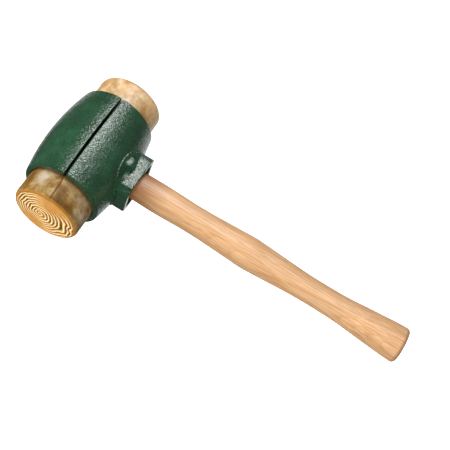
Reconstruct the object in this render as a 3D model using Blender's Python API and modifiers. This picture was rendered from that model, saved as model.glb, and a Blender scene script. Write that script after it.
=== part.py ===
"""Split-head rawhide mallet, about 404 mm long, in metres.

Two halves of a cast-iron barrel are drawn together by two cap screws and grip a
rolled rawhide plug at each end.  A hickory handle is wedged into the lower half.

Frame: Z is the axis of the barrel head, X runs along the handle towards its butt,
and Y is the side.  The mallet stands on its rear striking face, whose centre is
the origin.
"""
import math

import bmesh
import bpy
import numpy as np
from mathutils import Matrix

MM = 0.001

# ---------------------------------------------------------------- driving sizes
# Rawhide faces
FACE_RADIUS = 34.9 * MM
FACE_PROUD = 27.8 * MM          # length that stands out of the barrel
FACE_EDGE = 4.5 * MM            # rounding of the striking edge
FACE_LEAD = 1.0 * MM            # small rounding of the seated end
FACE_FIT = 0.35 * MM            # gap all round between rawhide and bore
SEAT_GAP = 0.3 * MM             # gap between rawhide and the floor of the bore

# Barrel head
BORE_DEPTH = 24.3 * MM
RIM_WALL = 4.95 * MM            # iron round the mouth of the bore
BARREL_CROWN = 5.8 * MM         # how far the middle bulges past the rim
RIM_EDGE = 2.0 * MM
MOUTH_CHAMFER = 1.0 * MM
SPLIT_GAP = 2.4 * MM            # slot between the two castings
CORE_WALL = 8.0 * MM            # iron left round the cored-out pockets
CORE_EDGE = 3.0 * MM            # rounding of the pocket corners

# Handle socket, an eight-sided band on a round skirt
BAND_HALF_LENGTH = 26.3 * MM
BAND_HALF_WIDTH = 20.8 * MM
BAND_CUT_LENGTH = 8.7 * MM      # corner cut, measured along the head
BAND_CUT_WIDTH = 6.5 * MM       # corner cut, measured across the head
BAND_HEIGHT = 11.2 * MM
BAND_STEP = 1.4 * MM            # the band stands this much proud of its neck
BAND_REACH = 10.7 * MM          # band end beyond the crown of the barrel
RECESS_DEPTH = 10.0 * MM
RECESS_ROOM_LENGTH = 5.3 * MM   # from the handle's collar to the iron, along the head
RECESS_ROOM_WIDTH = 3.16 * MM   # the same across the head
RECESS_CUT_LENGTH = 6.45 * MM   # corner cuts of the recess
RECESS_CUT_WIDTH = 4.25 * MM
RECESS_DRAFT = 0.5 * MM         # the recess is this much narrower at its floor
SKIRT_MARGIN = 1.1 * MM         # skirt radius beyond the corners of the band
SKIRT_LIP = 1.0 * MM            # height of the skirt's edge above the barrel

# Handle, oval in section
HANDLE_REACH = 358.0 * MM       # butt end, from the axis of the head
HANDLE_OVAL = 0.79              # thickness over width
COLLAR_HALF_WIDTH = 16.0 * MM   # where the handle leaves the socket
NECK_HALF_WIDTH = 15.1 * MM
BULGE_HALF_WIDTH = 16.9 * MM
WAIST_HALF_WIDTH = 13.85 * MM
SWELL_HALF_WIDTH = 19.5 * MM
BUTT_EDGE = 4.0 * MM
TENON_HALF_WIDTH = 13.2 * MM    # at the wedged end
TENON_TAPER = 2.2 * MM          # extra half width at the root of the tenon
TENON_SHORT = 0.5 * MM          # tenon end below the split face
EYE_FIT = 0.3 * MM

# Wedges
WOOD_WEDGE_DEPTH = 30.0 * MM
WOOD_WEDGE_HALF_WIDTH = 12.0 * MM
WOOD_WEDGE_THICK = 3.2 * MM
WOOD_WEDGE_TIP = 0.8 * MM
STEEL_WEDGE_DEPTH = 15.0 * MM
STEEL_WEDGE_HALF_WIDTH = 7.0 * MM
STEEL_WEDGE_THICK = 2.0 * MM
STEEL_WEDGE_TIP = 0.6 * MM
STEEL_WEDGE_PLACE = 6.5 * MM    # either side of the middle of the tenon
WEDGE_FIT = 0.3 * MM

# Clamp screws, M8 socket head
SCREW_RADIUS = 4.0 * MM
SCREW_HEAD_RADIUS = 6.5 * MM
SCREW_HEAD_HEIGHT = 8.0 * MM
SCREW_LENGTH = 55.0 * MM
SCREW_SOCKET_FLATS = 6.0 * MM
SCREW_SOCKET_DEPTH = 4.5 * MM
SCREW_EDGE = 0.6 * MM
SCREW_SUNK = 2.0 * MM           # top of the screw head below the casting
SCREW_WALL = 2.25 * MM          # iron between screw hole and eye or bore
CLEARANCE_RADIUS = 4.5 * MM     # hole through the upper casting
TAPPED_RADIUS = 4.3 * MM        # threads are not cut, so the hole is left open
TAPPED_SPARE = 4.0 * MM         # hole beyond the end of the screw
COUNTERBORE_RADIUS = 7.4 * MM
WASHER_THICK = 2.0 * MM
WASHER_RADIUS = 6.4 * MM
WASHER_HOLE_RADIUS = 4.3 * MM
WASHER_SLIT = 1.4 * MM
CONTACT_GAP = 0.3 * MM          # between pieces that rest on each other

ROUND_STEPS = 72
SMALL_STEPS = 28

# ---------------------------------------------------------------- worked-out sizes
BORE_RADIUS = FACE_RADIUS + FACE_FIT
RIM_RADIUS = BORE_RADIUS + RIM_WALL
BARREL_RADIUS = RIM_RADIUS + BARREL_CROWN
EYE_HALF_WIDTH = TENON_HALF_WIDTH + TENON_TAPER / 2 + EYE_FIT
WEB_HALF = EYE_HALF_WIDTH + 2 * SCREW_WALL + 2 * CLEARANCE_RADIUS
BARREL_HALF = WEB_HALF + BORE_DEPTH
MIDDLE_Z = FACE_PROUD + BARREL_HALF
SCREW_PLACE = WEB_HALF - SCREW_WALL - CLEARANCE_RADIUS
BAND_END = BARREL_RADIUS + BAND_REACH
BAND_START = BAND_END - BAND_HEIGHT
RECESS_FLOOR = BAND_END - RECESS_DEPTH
SKIRT_RADIUS = math.hypot(BAND_HALF_LENGTH, BAND_HALF_WIDTH - BAND_CUT_WIDTH) + SKIRT_MARGIN
TENON_END = SPLIT_GAP / 2 + TENON_SHORT
FAR = 3 * BARREL_RADIUS


def barrel_radius(along):
    """Outer radius of the barrel at a distance from its middle: a shallow parabola."""
    return BARREL_RADIUS - BARREL_CROWN * (along / BARREL_HALF) ** 2


# ---------------------------------------------------------------- small helpers
def clear_scene():
    for old in list(bpy.data.objects):
        bpy.data.objects.remove(old, do_unlink=True)


def new_collection(name):
    group = bpy.data.collections.new(name)
    bpy.context.scene.collection.children.link(group)
    return group


def new_material(name, colour, roughness, metallic=0.0):
    made = bpy.data.materials.new(name)
    made.use_nodes = True
    shader = made.node_tree.nodes["Principled BSDF"]
    shader.inputs["Base Color"].default_value = (*colour, 1.0)
    shader.inputs["Roughness"].default_value = roughness
    shader.inputs["Metallic"].default_value = metallic
    made.diffuse_color = (*colour, 1.0)
    return made


def add_object(name, mesh, place=(0.0, 0.0, 0.0)):
    made = bpy.data.objects.new(name, mesh)
    made.location = place
    PARTS.objects.link(made)
    return made


def as_cutter(cutter):
    """A cutter is drawn as wire, is left out of the model and sits with the other cutters."""
    for group in list(cutter.users_collection):
        group.objects.unlink(cutter)
    CUTTERS.objects.link(cutter)
    cutter.hide_render = True
    cutter.display_type = "WIRE"
    return cutter


def combine(target, tool, operation="DIFFERENCE"):
    step = target.modifiers.new(operation.title() + " " + tool.name, "BOOLEAN")
    step.operation = operation
    step.solver = "EXACT"
    step.object = as_cutter(tool)


def finish_piece(piece, material, smooth_angle=None):
    piece.data.materials.clear()
    piece.data.materials.append(material)
    if smooth_angle is not None:
        piece.data.shade_smooth()
        piece.data.set_sharp_from_angle(angle=math.radians(smooth_angle))
    return piece


def turned(name, profile, place, steps, along="Z"):
    """A profile of (radius, height) points turned about the piece's own Z axis."""
    mesh = bpy.data.meshes.new(name)
    points = [(radius, 0.0, height) for radius, height in profile]
    edges = [(i, i + 1) for i in range(len(points) - 1)]
    mesh.from_pydata(points, edges, [])
    made = add_object(name, mesh, place)
    if along == "X":
        made.rotation_euler = (0.0, -math.pi / 2, 0.0)
    spin = made.modifiers.new("Turn", "SCREW")
    spin.axis = "Z"
    spin.angle = 2 * math.pi
    spin.steps = steps
    spin.render_steps = steps
    spin.use_merge_vertices = True
    spin.merge_threshold = 0.00001
    spin.use_smooth_shade = True
    return made


def rounded_corner(radius, height, size, start, end, points=5):
    """Points of an arc round a corner's centre, from one angle in degrees to another."""
    angles = [math.radians(start + (end - start) * i / (points - 1)) for i in range(points)]
    return [(radius + size * math.cos(a), height + size * math.sin(a)) for a in angles]


def loft(name, rings):
    """A closed solid through a stack of rings that have the same number of points."""
    stack = np.asarray(rings)
    levels, around, _ = stack.shape
    grid = np.arange(levels * around).reshape(levels, around)
    low, high = grid[:-1], grid[1:]
    sides = np.stack([low, np.roll(low, -1, 1), np.roll(high, -1, 1), high], -1).reshape(-1, 4)
    faces = sides.tolist() + [grid[0][::-1].tolist(), grid[-1].tolist()]
    mesh = bpy.data.meshes.new(name)
    mesh.from_pydata(stack.reshape(-1, 3).tolist(), [], faces)
    shape = bmesh.new()
    shape.from_mesh(mesh)
    bmesh.ops.recalc_face_normals(shape, faces=shape.faces)
    shape.to_mesh(mesh)
    shape.free()
    return add_object(name, mesh)


def block(name, low, high, edge=0.0):
    """A box between two corners, with its edges rounded if an edge size is given."""
    low, high = np.asarray(low), np.asarray(high)
    bpy.ops.mesh.primitive_cube_add(size=1.0, location=(low + high) / 2)
    made = bpy.context.object
    made.name = name
    made.data.transform(Matrix.Diagonal((*(high - low).tolist(), 1.0)))
    if edge > 0.0:
        soften = made.modifiers.new("Rounding", "BEVEL")
        soften.width = min(edge, 0.45 * float((high - low).min()))
        soften.segments = 2
    return made


def rod(name, radius, low_x, high_x, z, steps=SMALL_STEPS):
    """A round bar along X on the centre plane."""
    bpy.ops.mesh.primitive_cylinder_add(
        vertices=steps, radius=radius, depth=high_x - low_x,
        location=((low_x + high_x) / 2, 0.0, z), rotation=(0.0, math.pi / 2, 0.0))
    made = bpy.context.object
    made.name = name
    return made


# ---------------------------------------------------------------- outlines
def band_ring(half_length, half_width, cut_length, cut_width, x, per_side=3):
    """The eight-sided outline of the socket band at height x, as points in order."""
    corners = [
        (half_length, half_width - cut_width), (half_length - cut_length, half_width),
        (cut_length - half_length, half_width), (-half_length, half_width - cut_width),
        (-half_length, cut_width - half_width), (cut_length - half_length, -half_width),
        (half_length - cut_length, -half_width), (half_length, cut_width - half_width)]
    corners = np.array(corners)
    share = np.arange(per_side)[None, :, None] / per_side
    sides = corners[:, None] * (1 - share) + np.roll(corners, -1, 0)[:, None] * share
    flat = sides.reshape(-1, 2)
    return np.stack([np.full(len(flat), x), flat[:, 1], MIDDLE_Z + flat[:, 0]], -1)


def shrunk_band(inset, x):
    """The band's outline moved inwards by an even inset."""
    return band_ring(BAND_HALF_LENGTH - inset, BAND_HALF_WIDTH - inset,
                     BAND_CUT_LENGTH - 0.45 * inset, BAND_CUT_WIDTH - 0.45 * inset, x)


def recess_ring(draft, x):
    """The recess round the handle's collar, eight-sided like the band and wider than the collar."""
    return band_ring(COLLAR_HALF_WIDTH + RECESS_ROOM_LENGTH - draft,
                     COLLAR_HALF_WIDTH * HANDLE_OVAL + RECESS_ROOM_WIDTH - draft,
                     RECESS_CUT_LENGTH - 0.45 * draft, RECESS_CUT_WIDTH - 0.45 * draft, x)


def skirt_ring(radius, lift):
    """A circle round the handle's axis, laid on the barrel and lifted off it."""
    spokes = shrunk_band(0.0, 0.0)
    angle = np.arctan2(spokes[:, 1], spokes[:, 2] - MIDDLE_Z)
    along = radius * np.cos(angle)
    across = radius * np.sin(angle)
    height = np.sqrt(barrel_radius(along) ** 2 - across ** 2)
    return np.stack([height + lift, across, MIDDLE_Z + along], -1)


def oval_ring(half_width, half_thick, x, points=40):
    """An oval round the handle's axis, its wide way along the head."""
    angle = np.arange(points) * 2 * math.pi / points
    return np.stack([np.full(points, x), half_thick * np.sin(angle),
                     MIDDLE_Z + half_width * np.cos(angle)], -1)


# ---------------------------------------------------------------- the two castings
def barrel_blank(name):
    """The whole barrel, turned, with its ends rounded over."""
    corner = RIM_EDGE
    upper = rounded_corner(RIM_RADIUS - corner, BARREL_HALF - corner, corner, 90, 15)
    reach = BARREL_HALF - corner
    side = [(barrel_radius(z), z) for z in np.linspace(0.97 * reach, -0.97 * reach, 17)]
    lower = [(radius, -height) for radius, height in reversed(upper)]
    profile = [(0.0, BARREL_HALF)] + upper + side + lower + [(0.0, -BARREL_HALF)]
    return turned(name, profile, (0.0, 0.0, MIDDLE_Z), ROUND_STEPS)


def bore_cutter(name, direction):
    """The bore for one rawhide face, with a chamfered mouth."""
    profile = [
        (0.0, BARREL_HALF + 10 * MM), (BORE_RADIUS + MOUTH_CHAMFER, BARREL_HALF + 10 * MM),
        (BORE_RADIUS + MOUTH_CHAMFER, BARREL_HALF), (BORE_RADIUS, BARREL_HALF - MOUTH_CHAMFER),
        (BORE_RADIUS, WEB_HALF), (0.0, WEB_HALF)]
    if direction < 0:
        profile = [(radius, -height) for radius, height in reversed(profile)]
    return turned(name, profile, (0.0, 0.0, MIDDLE_Z), ROUND_STEPS)


def pocket_cutter(name, side, x_sign):
    """A cored-out pocket beside the central rib, open at the split face."""
    inner = BAND_HALF_WIDTH * 0.78
    outer = math.sqrt(BARREL_RADIUS ** 2 - (0.55 * BARREL_RADIUS) ** 2) - CORE_WALL
    deep = 0.55 * BARREL_RADIUS - CORE_WALL * 0.25
    ends = (MIDDLE_Z - WEB_HALF + CORE_WALL, MIDDLE_Z + WEB_HALF - CORE_WALL)
    low = (min(-x_sign * 5 * MM, x_sign * deep), min(side * inner, side * outer), ends[0])
    high = (max(-x_sign * 5 * MM, x_sign * deep), max(side * inner, side * outer), ends[1])
    return block(name, low, high, CORE_EDGE)


def cut_common(casting, label, keep_sign):
    """Bores, split face and side pockets, which the two castings share."""
    for word, direction in (("front", 1), ("rear", -1)):
        combine(casting, bore_cutter(f"{label}_{word}_bore_cut", direction))
    face = keep_sign * SPLIT_GAP / 2
    low = (-FAR if keep_sign > 0 else face, -FAR, -FAR)
    high = (face if keep_sign > 0 else FAR, FAR, 2 * FAR)
    combine(casting, block(f"{label}_split_cut", low, high))
    for word, side in (("near", 1), ("far", -1)):
        combine(casting, pocket_cutter(f"{label}_{word}_pocket_cut", side, keep_sign))


def build_head_base():
    casting = barrel_blank("head_base")
    neck_start = BAND_START - 0.8 * MM
    rings = [
        skirt_ring(SKIRT_RADIUS - 1.0 * MM, -5.0 * MM),
        skirt_ring(SKIRT_RADIUS, -1.0 * MM),
        skirt_ring(SKIRT_RADIUS - 0.3 * MM, SKIRT_LIP * 0.6),
        skirt_ring(SKIRT_RADIUS - 1.2 * MM, SKIRT_LIP)]
    lip = skirt_ring(SKIRT_RADIUS - 2.4 * MM, SKIRT_LIP * 0.9)
    neck = shrunk_band(BAND_STEP, neck_start)
    scoop = 0.45 * lip + 0.55 * neck
    scoop[:, 0] -= 0.5 * MM
    rings += [lip, scoop, neck, shrunk_band(0.0, BAND_START)]
    rings += [shrunk_band(0.0, BAND_END - 0.6 * MM), shrunk_band(0.6 * MM, BAND_END)]
    socket = loft("head_base_socket", rings)
    combine(casting, socket, "UNION")
    cut_common(casting, "base", 1)
    recess = loft("base_recess_cut", [
        recess_ring(RECESS_DRAFT, RECESS_FLOOR), recess_ring(0.0, BAND_END + 1 * MM)])
    combine(casting, recess)
    combine(casting, loft("base_eye_cut", tenon_rings(EYE_FIT, -4 * MM, RECESS_FLOOR + 2 * MM)))
    for word, direction in (("front", 1), ("rear", -1)):
        end = screw_end_x() + TAPPED_SPARE
        z = MIDDLE_Z + direction * SCREW_PLACE
        combine(casting, rod(f"base_{word}_tapped_cut", TAPPED_RADIUS, -5 * MM, end, z))
    finish_piece(casting, PAINTED_IRON)


def build_head_cap():
    casting = barrel_blank("head_cap")
    cut_common(casting, "cap", -1)
    hollow = block("cap_centre_pocket_cut", (-0.72 * BARREL_RADIUS, -0.22 * BARREL_RADIUS,
                                             MIDDLE_Z - TENON_HALF_WIDTH + SCREW_WALL),
                   (5 * MM, 0.22 * BARREL_RADIUS, MIDDLE_Z + TENON_HALF_WIDTH - SCREW_WALL),
                   CORE_EDGE)
    combine(casting, hollow)
    for word, direction in (("front", 1), ("rear", -1)):
        z = MIDDLE_Z + direction * SCREW_PLACE
        combine(casting, rod(f"cap_{word}_clearance_cut", CLEARANCE_RADIUS, -FAR, 5 * MM, z))
        combine(casting, rod(f"cap_{word}_counterbore_cut", COUNTERBORE_RADIUS, -FAR, seat_x(), z))
    finish_piece(casting, PAINTED_IRON)


# ---------------------------------------------------------------- rawhide
def build_rawhide_face(name, direction):
    """A plug of tightly rolled rawhide with a rounded striking edge."""
    seat = WEB_HALF + SEAT_GAP
    end = BARREL_HALF + FACE_PROUD
    outer = rounded_corner(FACE_RADIUS - FACE_EDGE, end - FACE_EDGE, FACE_EDGE, 90, 0, 6)
    inner = rounded_corner(FACE_RADIUS - FACE_LEAD, seat + FACE_LEAD, FACE_LEAD, 0, -90, 3)
    profile = [(0.0, end)] + outer + inner + [(0.0, seat)]
    if direction < 0:
        profile = [(radius, -height) for radius, height in reversed(profile)]
    plug = turned(name, profile, (0.0, 0.0, MIDDLE_Z), ROUND_STEPS)
    finish_piece(plug, RAWHIDE)


# ---------------------------------------------------------------- handle
def smooth_curve(stations, at):
    """A smooth curve through (position, value) stations, level at each turning point."""
    x, y = np.array(stations).T
    steps = np.diff(y) / np.diff(x)
    same = steps[1:] * steps[:-1] > 0
    inner = np.where(same, 2 * steps[1:] * steps[:-1] / np.where(same, steps[1:] + steps[:-1], 1), 0)
    slope = np.concatenate([[steps[0]], inner, [0.0]])
    i = np.clip(np.searchsorted(x, at) - 1, 0, len(x) - 2)
    gap = x[i + 1] - x[i]
    t = np.clip((at - x[i]) / gap, 0, 1)
    return ((2 * t**3 - 3 * t**2 + 1) * y[i] + (t**3 - 2 * t**2 + t) * gap * slope[i]
            + (3 * t**2 - 2 * t**3) * y[i + 1] + (t**3 - t**2) * gap * slope[i + 1])


def tenon_half_width(x):
    """The tenon tapers evenly from its root in the recess to its wedged end."""
    share = (x - TENON_END) / (RECESS_FLOOR - TENON_END)
    return TENON_HALF_WIDTH + TENON_TAPER * share


def tenon_rings(gap, start, end):
    return [oval_ring(tenon_half_width(x) + gap, tenon_half_width(x) * HANDLE_OVAL + gap, x)
            for x in (start, end)]


def handle_rings():
    """Ovals from the wedged end to the butt, with the maker's shape in between."""
    run = HANDLE_REACH - BAND_END
    stations = [
        (BAND_END, COLLAR_HALF_WIDTH), (BAND_END + 0.07 * run, COLLAR_HALF_WIDTH),
        (BAND_END + 0.21 * run, NECK_HALF_WIDTH), (BAND_END + 0.42 * run, BULGE_HALF_WIDTH),
        (BAND_END + 0.66 * run, WAIST_HALF_WIDTH), (BAND_END + 0.75 * run, 1.02 * WAIST_HALF_WIDTH),
        (BAND_END + 0.885 * run, 0.895 * SWELL_HALF_WIDTH), (BAND_END + 0.985 * run, SWELL_HALF_WIDTH)]
    rings = tenon_rings(0.0, TENON_END, RECESS_FLOOR - CONTACT_GAP)
    shoulder = RECESS_FLOOR + CONTACT_GAP
    for x, half in ((shoulder, COLLAR_HALF_WIDTH - 0.8 * MM), (shoulder + 1.5 * MM, COLLAR_HALF_WIDTH)):
        rings.append(oval_ring(half, half * HANDLE_OVAL, x))
    for x in np.linspace(BAND_END, HANDLE_REACH - BUTT_EDGE, 30):
        half = float(smooth_curve(stations, x))
        rings.append(oval_ring(half, half * HANDLE_OVAL, x))
    last = float(smooth_curve(stations, HANDLE_REACH - BUTT_EDGE))
    for angle in (30, 60, 90):
        drop = BUTT_EDGE * (1 - math.cos(math.radians(angle)))
        x = HANDLE_REACH - BUTT_EDGE * (1 - math.sin(math.radians(angle)))
        rings.append(oval_ring(last - drop, last * HANDLE_OVAL - drop, x))
    return rings


def wedge_block(name, depth, half_width, thick, tip, place, turn, grow=0.0, overrun=0.0):
    """A tapered wedge driven along +X; thick end at the tenon's end, thin end inside."""
    made = block(name, (0, 0, 0), (1, 1, 1))
    for corner in made.data.vertices:
        inside = corner.co.x > 0
        x = TENON_END + CONTACT_GAP + (depth + grow if inside else -overrun)
        half = (tip if inside else thick) / 2 + grow
        if overrun > 0 and not inside:
            half += (thick - tip) / 2 * overrun / depth
        wide = half_width + grow
        across = math.copysign(half, corner.co.y), math.copysign(wide, corner.co.z)
        if turn:
            corner.co = (x, across[1], place - across[0])
        else:
            corner.co = (x, across[0], place + across[1])
    made.location = (0.0, 0.0, 0.0)
    return made


def wood_wedge(name, grow=0.0, overrun=0.0):
    return wedge_block(name, WOOD_WEDGE_DEPTH, WOOD_WEDGE_HALF_WIDTH, WOOD_WEDGE_THICK,
                       WOOD_WEDGE_TIP, MIDDLE_Z, False, grow, overrun)


def steel_wedge(name, direction, grow=0.0, overrun=0.0):
    return wedge_block(name, STEEL_WEDGE_DEPTH, STEEL_WEDGE_HALF_WIDTH, STEEL_WEDGE_THICK,
                       STEEL_WEDGE_TIP, MIDDLE_Z + direction * STEEL_WEDGE_PLACE, True,
                       grow, overrun)


def as_part(piece, material):
    """Moves a primitive into the object's own collection."""
    for group in list(piece.users_collection):
        group.objects.unlink(piece)
    PARTS.objects.link(piece)
    return finish_piece(piece, material)


def build_handle():
    handle = loft("handle", handle_rings())
    finish_piece(handle, HICKORY, 35)
    combine(handle, wood_wedge("handle_kerf_cut", WEDGE_FIT, 3 * MM))
    for word, direction in (("front", 1), ("rear", -1)):
        combine(handle, steel_wedge(f"handle_{word}_slit_cut", direction, WEDGE_FIT, 3 * MM))


def build_wedges():
    timber = as_part(wood_wedge("wood_wedge"), MAPLE)
    for word, direction in (("front", 1), ("rear", -1)):
        combine(timber, steel_wedge(f"wood_wedge_{word}_slit_cut", direction, WEDGE_FIT, 3 * MM))
        as_part(steel_wedge(f"steel_wedge_{word}", direction), BARE_STEEL)


# ---------------------------------------------------------------- clamp screws
def seat_x():
    """Floor of the counterbore, deep enough to sink the screw head and its washer."""
    crown = -barrel_radius(SCREW_PLACE)
    return crown + SCREW_SUNK + SCREW_HEAD_HEIGHT + WASHER_THICK + 2 * CONTACT_GAP


def washer_x():
    return seat_x() - CONTACT_GAP - WASHER_THICK


def head_seat_x():
    return washer_x() - CONTACT_GAP


def screw_end_x():
    return head_seat_x() + SCREW_LENGTH


def build_screw(word, direction):
    """A socket head cap screw; its origin is on its own axis, under the head."""
    edge = SCREW_EDGE
    profile = [
        (0.0, SCREW_HEAD_HEIGHT), (SCREW_HEAD_RADIUS - edge, SCREW_HEAD_HEIGHT),
        (SCREW_HEAD_RADIUS, SCREW_HEAD_HEIGHT - edge), (SCREW_HEAD_RADIUS, 0.0),
        (SCREW_RADIUS, 0.0), (SCREW_RADIUS, edge - SCREW_LENGTH),
        (SCREW_RADIUS - edge, -SCREW_LENGTH), (0.0, -SCREW_LENGTH)]
    place = (head_seat_x(), 0.0, MIDDLE_Z + direction * SCREW_PLACE)
    screw = turned(f"clamp_screw_{word}", profile, place, SMALL_STEPS, "X")
    top = head_seat_x() - SCREW_HEAD_HEIGHT
    corner = SCREW_SOCKET_FLATS / math.sqrt(3)
    key = rod(f"clamp_screw_{word}_socket_cut", corner, top - 2 * MM, top + SCREW_SOCKET_DEPTH,
              place[2], steps=6)
    combine(screw, key)
    finish_piece(screw, BLACK_STEEL)


def build_washer(word, direction):
    """A split spring washer: a flat ring with one slit."""
    profile = [
        (WASHER_HOLE_RADIUS, WASHER_THICK), (WASHER_RADIUS, WASHER_THICK),
        (WASHER_RADIUS, 0.0), (WASHER_HOLE_RADIUS, 0.0), (WASHER_HOLE_RADIUS, WASHER_THICK)]
    z = MIDDLE_Z + direction * SCREW_PLACE
    place = (washer_x() + WASHER_THICK, 0.0, z)
    ring = turned(f"lock_washer_{word}", profile, place, SMALL_STEPS, "X")
    slit = block(f"lock_washer_{word}_slit_cut",
                 (washer_x() - 1 * MM, 0.0, z - WASHER_SLIT / 2),
                 (washer_x() + WASHER_THICK + 1 * MM, 2 * WASHER_RADIUS, z + WASHER_SLIT / 2))
    combine(ring, slit)
    finish_piece(ring, BARE_STEEL)


# ---------------------------------------------------------------- assembly
clear_scene()
PARTS = new_collection("split_head_rawhide_mallet")
CUTTERS = new_collection("cutters")
PAINTED_IRON = new_material("green enamel on cast iron", (0.028, 0.10, 0.055), 0.38)
RAWHIDE = new_material("rolled rawhide", (0.62, 0.38, 0.14), 0.45)
HICKORY = new_material("hickory", (0.80, 0.53, 0.30), 0.5)
MAPLE = new_material("maple wedge", (0.72, 0.55, 0.35), 0.6)
BARE_STEEL = new_material("bare steel", (0.45, 0.44, 0.42), 0.4, 1.0)
BLACK_STEEL = new_material("black oxide steel", (0.03, 0.03, 0.032), 0.42, 0.9)

build_head_base()
build_head_cap()
build_rawhide_face("rawhide_face_front", 1)
build_rawhide_face("rawhide_face_rear", -1)
build_handle()
build_wedges()
for side_word, side_sign in (("front", 1), ("rear", -1)):
    build_screw(side_word, side_sign)
    build_washer(side_word, side_sign)
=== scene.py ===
"""The looks of a split-head rawhide mallet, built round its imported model.

Z is the axis of the barrel head, X runs along the handle to its butt, and Y is the
side.  Every piece is a surface worked out on a grid of rows and columns: rows follow
a profile, columns go round it.  Sizes are in metres, named in millimetres.
"""

import math

import bpy
import numpy as np
from mathutils import Matrix, Vector


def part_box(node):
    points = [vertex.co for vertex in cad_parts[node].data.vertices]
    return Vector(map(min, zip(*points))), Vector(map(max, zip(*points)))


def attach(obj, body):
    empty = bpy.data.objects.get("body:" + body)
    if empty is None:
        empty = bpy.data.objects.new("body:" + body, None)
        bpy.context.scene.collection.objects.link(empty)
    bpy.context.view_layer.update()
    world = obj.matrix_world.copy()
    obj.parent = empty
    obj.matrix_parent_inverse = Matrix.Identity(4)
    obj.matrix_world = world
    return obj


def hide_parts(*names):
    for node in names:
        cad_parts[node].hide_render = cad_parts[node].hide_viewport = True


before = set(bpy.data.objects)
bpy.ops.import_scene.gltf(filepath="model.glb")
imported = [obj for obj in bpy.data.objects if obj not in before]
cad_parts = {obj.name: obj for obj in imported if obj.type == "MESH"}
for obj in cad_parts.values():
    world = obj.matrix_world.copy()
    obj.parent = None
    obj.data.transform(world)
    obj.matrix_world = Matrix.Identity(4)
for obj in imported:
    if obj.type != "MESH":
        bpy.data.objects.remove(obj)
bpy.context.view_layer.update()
MM = 0.001

# ---------------------------------------------------------------- sizes from the frame
_, base_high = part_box("head_base")
cap_low, cap_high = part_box("head_cap")
plug_low, plug_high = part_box("rawhide_face_front")
handle_low, handle_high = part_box("handle")
BARREL_RADIUS = -cap_low.x
BARREL_HALF = (cap_high.z - cap_low.z) / 2
MIDDLE = (cap_high.z + cap_low.z) / 2
SPLIT = -cap_high.x                      # half the slot between the castings
BAND_END = base_high.x
PLUG_RADIUS = plug_high.x
PLUG_SEAT = plug_low.z - MIDDLE
PLUG_END = plug_high.z - MIDDLE
BUTT = handle_high.x

# ---------------------------------------------------------------- sizes of the castings
PLUG_FIT = 0.35 * MM
SEAT_GAP = 0.3 * MM
RIM_WALL = 4.95 * MM
RIM_EDGE = 2.2 * MM
MOUTH_EDGE = 1.0 * MM
SPLIT_EDGE = 0.75 * MM                   # rounding of the paint along the slot
BORE_RADIUS = PLUG_RADIUS + PLUG_FIT
RIM_RADIUS = BORE_RADIUS + RIM_WALL
CROWN = BARREL_RADIUS - RIM_RADIUS
WEB_HALF = PLUG_SEAT - SEAT_GAP
CORE_WALL = 8.0 * MM
BAND_HALF_LENGTH = 26.3 * MM
BAND_HALF_WIDTH = 20.8 * MM
BAND_CUT_LENGTH = 8.7 * MM
BAND_CUT_WIDTH = 6.5 * MM
BAND_HEIGHT = 11.2 * MM
BAND_WALL = 5.0 * MM
BAND_STEP = 1.4 * MM
BAND_CORNER = 1.8 * MM
RECESS_DEPTH = 10.0 * MM
SKIRT_RADIUS = 31.0 * MM
SKIRT_LIP = 1.2 * MM
TENON_HALF_WIDTH = 13.2 * MM
TENON_TAPER = 2.2 * MM
HANDLE_OVAL = 0.79                       # thickness of the handle over its width
EYE_FIT = 0.3 * MM
PAINT_REACH = 0.9 * MM                   # how deep the brush got into the slot and holes
UNEVEN_BARREL = 0.10 * MM                # cast unevenness, long waves and short ones
UNEVEN_SAND = 0.035 * MM
UNEVEN_SOCKET = 0.07 * MM
CORE_INNER = 0.78                        # cored pockets: near wall over the band's half width
CORE_DEEP = 0.55                         # their floor over the barrel's radius
CAP_EYE_DEEP = 0.72                      # the cap's middle pocket over the barrel's radius
CAP_EYE_HALF = 0.22

# ---------------------------------------------------------------- sizes of the clamp screws
SCREW_HEAD_RADIUS = 6.5 * MM
SCREW_HEAD_HEIGHT = 8.0 * MM
SCREW_HEAD_EDGE = 0.8 * MM
SCREW_RADIUS = 4.0 * MM                  # M8
THREAD_PITCH = 1.25 * MM
THREAD_DEPTH = 0.62 * MM
THREAD_START = 22 * MM                   # plain shank below the head
HEX_ACROSS = 6.0 * MM                    # socket, across its flats
TAPPED_RADIUS = 4.3 * MM
CLEARANCE_RADIUS = 4.5 * MM
COUNTERBORE_RADIUS = 7.4 * MM
COUNTERBORE_FLARE = 2.2 * MM
WASHER_SPACE = 2.6 * MM                  # washer, and a gap over and under it
WASHER_OUTER = 6.35 * MM
WASHER_INNER = 4.3 * MM
WASHER_HALF = 0.85 * MM
WASHER_RISE = 0.14 * MM

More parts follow.
